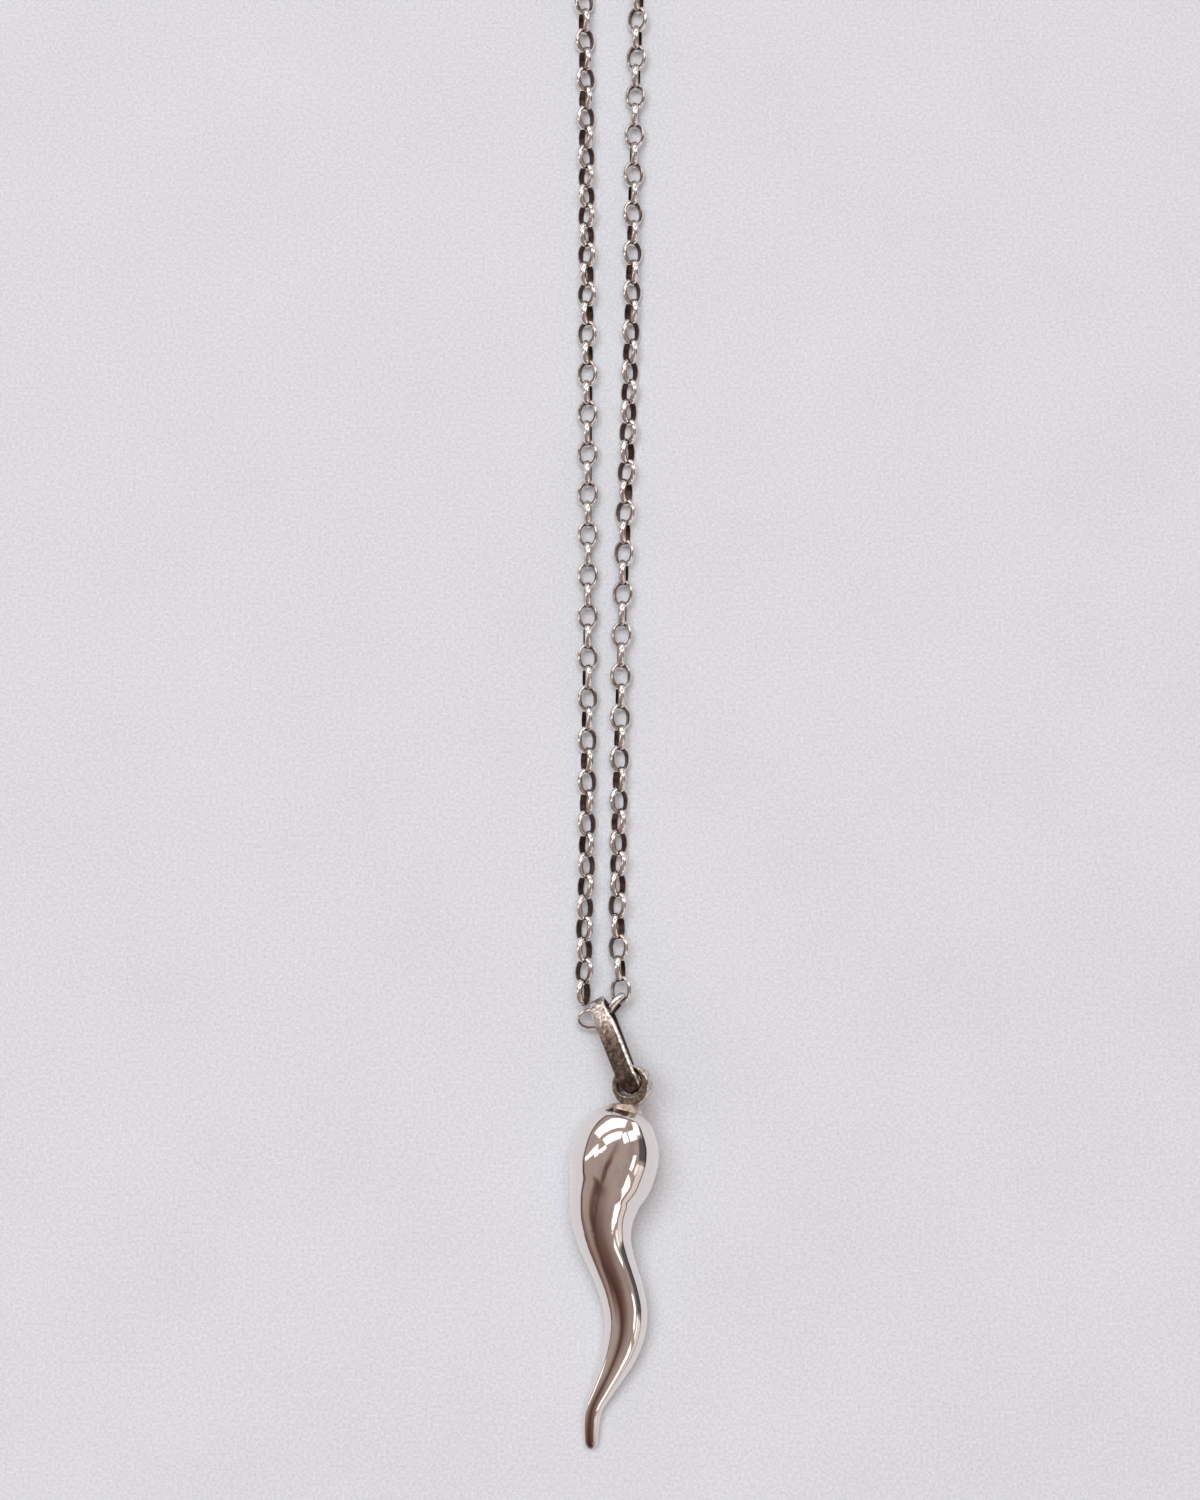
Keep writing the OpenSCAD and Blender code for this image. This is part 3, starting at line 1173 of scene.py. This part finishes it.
def strand_of_links(name, centres, axes, sizes):
    """One mesh with a link at each place: a domed band carried round an oval.

    The oval lies between an ellipse and two half circles with straight sides. The band is
    flat inside and bowed outside, and a little thicker along the oval's sides. Tarnish and
    painted shade lie on its inner face and at its two edges, as a value for each face's
    corner.
    """
    wall, band = sizes.band_wall / MM, sizes.band_width / MM
    bend = sizes.link_width / MM / 2 - wall
    straight = sizes.link_length / MM / 2 - wall - bend
    turn = np.linspace(0, math.pi, 7)
    half = np.stack([np.cos(turn), np.sin(turn)], -1)
    shift = np.repeat([[0, straight], [0, -straight]], len(turn), 0)
    slotted = np.concatenate([half, -half])
    a = (np.arange(2 * len(turn)) + 0.5) * math.pi / len(turn)
    axes_of_oval = np.array([bend, bend + straight])
    even = np.stack([np.cos(a), np.sin(a)], -1)
    oval_share = 1 - SLOT_SHARE
    line = SLOT_SHARE * (slotted * bend + shift) + oval_share * even * axes_of_oval
    out = SLOT_SHARE * slotted + oval_share * even / axes_of_oval
    out /= np.linalg.norm(out, axis=1, keepdims=True)
    across, rise = BAND_ROWS.T * [[band / 2], [wall]]
    deeper = np.abs(np.cos(a)[:, None]) * INNER_FACE_DEEPER * (rise < 0)
    rise = rise * (1 + deeper)
    x = line[:, :1] + out[:, :1] * rise
    y = line[:, 1:] + out[:, 1:] * rise
    z = np.broadcast_to(across, x.shape)
    one = np.stack([x, y, z], -1)
    rows, cols = one.shape[:2]
    points = np.einsum("lij,rcj->lrci", axes, one * MM) + centres[:, None, None, :]
    quads = grid_faces(rows, cols)
    count = len(centres)
    faces = quads[None] + (np.arange(count) * rows * cols)[:, None, None]
    obj = mesh_piece(name, points.reshape(-1, 3), faces.reshape(-1, 4).tolist())
    face_outward(obj)
    obj.data.set_sharp_from_angle(angle=math.radians(50))
    # Painted shade: dark lines along the band's edges, and a dark inner face that is partly
    # tarnish.
    layer = obj.data.attributes.new("tarnish_and_painted_light", "FLOAT", "CORNER")
    depth = np.repeat(BAND_TARNISH_AND_SHADE, 2, axis=1)[quads[:, 0] % cols]
    values = np.tile(depth[None], (count, 1, 1)).reshape(-1)
    layer.data.foreach_set("value", values.astype(np.float32))
    return obj


class NECKLACE_OT_clasp(bpy.types.Operator):
    """Make the plain ring clasp with its eye"""

    bl_idname = "necklace.clasp"
    bl_label = "Clasp"

    def execute(self, context):
        sizes, looks = sizes_and_looks()
        obj = clasp(sizes)
        material = silver_material(
            "clasp_silver",
            looks.silver,
            looks.brown,
            looks.black,
            scale=500.0,
            amount=0.25,
            smooth=0.09,
            rough=0.35,
            scratch_depth=0.1,
        )
        finish_piece(obj, material, "clasp")
        return {"FINISHED"}


def clasp(sizes):
    """The clasp: two round-wire rings side by side, on the line of the CAD clasp.

    A ring is a circle of wire carried round a larger circle. The clasp's long axis and
    its middle come from the spread of the CAD clasp's points, and its eye lies towards
    the end where those points are less wide.
    """
    co = vertex_array(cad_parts["clasp"].data)
    low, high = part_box("clasp")
    height = (low.z + high.z) / 2
    flat = co[:, :2] - co[:, :2].mean(0)
    axis = np.linalg.eigh(flat.T @ flat)[1][:, 1]
    reach = flat @ axis
    beside = flat @ [-axis[1], axis[0]]
    width_ahead = np.ptp(beside[reach > reach.max() * 0.5])
    width_behind = np.ptp(beside[reach < reach.min() * 0.5])
    if -reach.min() < reach.max() and width_ahead > width_behind:
        axis, reach = -axis, -reach
    ring_r, ring_wire = sizes.clasp_width / 2, sizes.clasp_wire / 2
    eye_r, eye_wire = sizes.eye_width / 2, sizes.eye_wire / 2
    ring_at = co[:, :2].mean(0) + axis * (reach.min() + ring_r + ring_wire)
    eye_at = co[:, :2].mean(0) + axis * (reach.max() - eye_r - eye_wire)
    steps, sides = 64, 20
    a = np.linspace(0, 2 * math.pi, steps, endpoint=False)[:, None]
    b = np.linspace(0, 2 * math.pi, sides, endpoint=False)
    points = []
    for at, radius, wire in ((ring_at, ring_r, ring_wire), (eye_at, eye_r, eye_wire)):
        r = radius + wire * np.cos(b)
        x, y = at[0] + r * np.cos(a), at[1] + r * np.sin(a)
        points.append(np.stack([x, y, height + wire * np.sin(b) + 0 * a], -1))
    quads = grid_faces(steps, sides)
    faces = np.vstack([quads, quads + steps * sides]).tolist()
    obj = mesh_piece("clasp_ring", np.reshape(points, (-1, 3)), faces)
    face_outward(obj)
    inward = np.clip(-np.cos(b), 0, 1)
    point_values(obj, "tarnish_and_painted_light", np.tile(inward * 0.5, steps * 2))
    return obj


# Stage

# Window panes. Each lies in a plane that faces the pendant from a compass direction, from
# +Y towards +X, and from a height above the horizon, and that leans to the right, all in
# degrees. Then come its left, right, lower and upper edge in that plane, as shares of
# the plane's distance, and its share of the full brightness.
PANES = [
    (-12, 0, 0, -0.98, 0.80, 0.33, 0.95, 1.0),
    (-12, 0, 0, -0.86, 0.72, 1.28, 2.20, 1.0),
    (50, 42, -19, -0.14, 0.14, -0.40, 0.02, 1.0),
    (48, 42, -19, -0.16, 0.14, 0.08, 0.32, 1.0),
    (52, 14, -19, -0.24, 0.16, -0.13, 0.13, 0.9),
    (-77, 23, 28, -0.09, 0.045, -0.34, 0.33, 0.9),
    (-73, 47, 28, -0.05, 0.045, -0.24, 0.30, 0.9),
    (118, 0, 0, -0.52, 0.05, 0.72, 0.98, 1.0),
    (118, 0, 0, -0.28, 0.05, 0.36, 0.56, 0.5),
    (118, 0, 0, 0.21, 0.62, 0.44, 0.84, 1.0),
    (118, 0, 0, -0.28, 0.70, 0.04, 0.32, 0.36),
]
PANE_DISTANCE = 1.6
PAPER_WIDTH = 1.8
PANE_COLOUR = (1.0, 0.99, 0.985)
LAMP_SIZE = (1.3, 1.3)
LAMP_AT = (-0.2, 0.1, 1.7)
LAMP_COLOUR = (0.875, 0.935, 1.0)
LIGHT_AIM = Vector((0.0, -0.1, 0.005))

# Dark ovals on the ceiling that the silver mirrors: middle, turn in degrees, half length
# and half width, all as shares of the ceiling's height, and how much fainter each one is
DARK_OVALS = [
    ((-0.88, -0.85), -16, 0.50, 0.13, 0.0),
    ((-0.42, -0.36), 54, 0.68, 0.14, 0.35),
    ((-1.15, -0.82), -12, 0.72, 0.22, 0.6),
]
CUPBOARD = (0.10, 0.093, 0.098)
BACKDROP = (0.6, 0.59, 0.61)


class NECKLACE_OT_stage(bpy.types.Operator):
    """Lay the paper, set the camera and light the room"""

    bl_idname = "necklace.stage"
    bl_label = "Paper, camera and light"

    def execute(self, context):
        _, looks = sizes_and_looks()
        lay_paper(looks)
        set_camera()
        hang_panes(looks)
        light_room(looks)
        context.scene.view_settings.view_transform = "Standard"
        return {"FINISHED"}


def lay_paper(looks):
    """A wide flat sheet at the table's height."""
    half = PAPER_WIDTH / 2
    verts = [(-half, -half, 0), (half, -half, 0), (half, half, 0), (-half, half, 0)]
    sheet = mesh_piece("paper", np.array(verts, float), [(0, 1, 2, 3)], smooth=False)
    sheet.data.materials.append(paper_material(looks))


def set_camera():
    """The camera looks down at the necklace, leaning back towards the tip.

    From its aim it lies the distance away, by the lean's sine towards the tip and by its
    cosine up.
    """
    data = bpy.data.cameras.new("camera")
    data.lens = 85
    data.sensor_width = 36
    data.clip_start = 0.01
    camera = bpy.data.objects.new("camera", data)
    bpy.context.scene.collection.objects.link(camera)
    camera.location = VIEW_AIM + VIEW_DISTANCE * Vector(
        (0, -math.sin(VIEW_LEAN), math.cos(VIEW_LEAN))
    )
    camera.rotation_euler = (VIEW_LEAN, 0, 0)
    bpy.context.scene.camera = camera


def hang_panes(looks):
    """Window panes as area lights, and a lamp too dull to show in the silver.

    A pane's middle is the plane's foot point moved along the plane's right and upward
    directions. A light's power is its brightness times its area times pi.
    """
    for number, pane in enumerate(PANES):
        compass, height, lean, left, right, low, high, share = pane
        a, e, turn = (math.radians(v) for v in (compass, height, lean))
        way = Vector(
            (math.sin(a) * math.cos(e), math.cos(a) * math.cos(e), math.sin(e))
        )
        level = Vector((math.cos(a), -math.sin(a), 0.0))
        rise = level.cross(way)
        side = level * math.cos(turn) - rise * math.sin(turn)
        up = level * math.sin(turn) + rise * math.cos(turn)
        middle = way + side * (left + right) / 2 + up * (low + high) / 2
        size = (PANE_DISTANCE * (right - left), PANE_DISTANCE * (high - low))
        obj = soft_light(f"pane_{number}", size, looks.window_light * share)
        obj.location = LIGHT_AIM + middle * PANE_DISTANCE
        obj.rotation_euler = Matrix((-side, up, way)).transposed().to_euler()
        obj.visible_diffuse = False
    lamp = soft_light("soft_lamp", LAMP_SIZE, looks.lamp_light)
    lamp.data.color = LAMP_COLOUR
    lamp.location = LAMP_AT
    back = lamp.location - LIGHT_AIM
    lamp.rotation_euler = back.to_track_quat("Z", "Y").to_euler()
    lamp.visible_glossy = False


def soft_light(name, size, brightness):
    """A rectangular light of an even brightness and the panes' colour, hidden from view."""
    data = bpy.data.lights.new(name, "AREA")
    data.shape = "RECTANGLE"
    data.size, data.size_y = size
    data.color = PANE_COLOUR
    data.energy = brightness * size[0] * size[1] * math.pi
    obj = bpy.data.objects.new(name, data)
    obj.visible_camera = False
    bpy.context.scene.collection.objects.link(obj)
    return obj


def light_room(looks):
    """The room's dim walls, darker at the horizon, with a pale backdrop for the camera.

    A direction is projected from the pendant onto a level ceiling, where its place is X
    over Z and Y over Z. On that ceiling are the dark ovals, the far end behind is dusky,
    and a low dark cupboard stands at the right. A soft noise makes patches elsewhere.
    """
    world = bpy.data.worlds.new("room")
    bpy.context.scene.world = world
    world.use_nodes = True
    t = world.node_tree
    back = t.nodes["Background"]
    way = t.nodes.new("ShaderNodeTexCoord").outputs["Generated"]
    split = t.nodes.new("ShaderNodeSeparateXYZ")
    t.links.new(way, split.inputs[0])
    rise = reckon(t, "MAXIMUM", split.outputs["Z"], 0.02)
    ceiling = t.nodes.new("ShaderNodeCombineXYZ")
    t.links.new(reckon(t, "DIVIDE", split.outputs["X"], rise), ceiling.inputs["X"])
    t.links.new(reckon(t, "DIVIDE", split.outputs["Y"], rise), ceiling.inputs["Y"])
    flat = ceiling.outputs[0]
    far = 10.0
    for middle, turn, long, wide, fainter in DARK_OVALS:
        distance = reckon(t, "ADD", oval(t, flat, middle, turn, long, wide), fainter)
        far = reckon(t, "MINIMUM", far, distance)
    patches = ramp(t, noise(t, way, 2.2, 2.0, 0.5), 0.3, 0.7, 0.8, 1.2)
    edge = blend_colour(t, ramp(t, far, 1.9, 0.8), looks.room, looks.dark_side)
    dark = [c * 0.4 for c in looks.dark_side]
    colour = blend_colour(t, ramp(t, far, 1.3, 0.1), edge, dark)
    place = t.nodes.new("ShaderNodeSeparateXYZ")
    t.links.new(flat, place.inputs[0])
    behind = ramp(t, place.outputs["Y"], -1.2, -2.6)
    colour = blend_colour(t, behind, colour, [c * 1.2 for c in looks.dark_side])
    aside = reckon(t, "DIVIDE", place.outputs["Y"], place.outputs["X"])
    cupboard = reckon(
        t,
        "MULTIPLY",
        ramp(t, place.outputs["X"], 1.9, 2.4),
        ramp(t, reckon(t, "ABSOLUTE", reckon(t, "SUBTRACT", aside, 0.15)), 0.33, 0.24),
    )
    colour = blend_colour(t, cupboard, colour, CUPBOARD)
    above = ramp(t, split.outputs["Z"], 0.0, 0.14, 0.2, 1.0)
    level = reckon(t, "MULTIPLY", above, patches)
    walls = blend_colour(t, level, (0.0, 0.0, 0.0), colour)
    seen = t.nodes.new("ShaderNodeLightPath").outputs["Is Camera Ray"]
    t.links.new(blend_colour(t, seen, walls, BACKDROP), back.inputs["Color"])
    back.inputs["Strength"].default_value = 1.0


def oval(tree, flat, middle, turn, long, wide):
    """Distance from an oval's middle, counted so that it is one on the oval's outline."""
    node = tree.nodes.new("ShaderNodeMapping")
    node.vector_type = "TEXTURE"
    node.inputs["Location"].default_value = (*middle, 0.0)
    node.inputs["Rotation"].default_value = (0.0, 0.0, math.radians(turn))
    node.inputs["Scale"].default_value = (long, wide, 1.0)
    tree.links.new(flat, node.inputs["Vector"])
    size = tree.nodes.new("ShaderNodeVectorMath")
    size.operation = "LENGTH"
    tree.links.new(node.outputs["Vector"], size.inputs[0])
    return size.outputs["Value"]


# Panel


class NECKLACE_PT_panel(bpy.types.Panel):
    """The necklace's pieces in the order in which they are made, its sizes and its looks."""

    bl_idname = "NECKLACE_PT_panel"
    bl_label = "Horn Pendant Necklace"
    bl_space_type = "VIEW_3D"
    bl_region_type = "UI"
    bl_category = "Necklace"

    def draw(self, context):
        for piece in PIECES:
            self.layout.operator(piece.bl_idname)
        for group in (context.scene.necklace_sizes, context.scene.necklace_looks):
            for name in group.bl_rna.properties.keys():
                if name not in ("rna_type", "name"):
                    self.layout.prop(group, name)


PIECES = [
    NECKLACE_OT_horn,
    NECKLACE_OT_collar,
    NECKLACE_OT_ring,
    NECKLACE_OT_bail,
    NECKLACE_OT_chain,
    NECKLACE_OT_clasp,
    NECKLACE_OT_stage,
]
CLASSES = [NecklaceSizes, NecklaceLooks, *PIECES, NECKLACE_PT_panel]


def register():
    """Makes the classes known, and gives the scene its sizes and looks."""
    for cls in CLASSES:
        bpy.utils.register_class(cls)
    bpy.types.Scene.necklace_sizes = PointerProperty(type=NecklaceSizes)
    bpy.types.Scene.necklace_looks = PointerProperty(type=NecklaceLooks)


def unregister():
    """Takes back what register did."""
    del bpy.types.Scene.necklace_looks
    del bpy.types.Scene.necklace_sizes
    for cls in reversed(CLASSES):
        bpy.utils.unregister_class(cls)


def main():
    """Makes every piece and the stage."""
    register()
    bpy.ops.necklace.horn()
    bpy.ops.necklace.collar()
    bpy.ops.necklace.ring()
    bpy.ops.necklace.bail()
    bpy.ops.necklace.chain()
    bpy.ops.necklace.clasp()
    bpy.ops.necklace.stage()


if __name__ == "__main__":
    main()
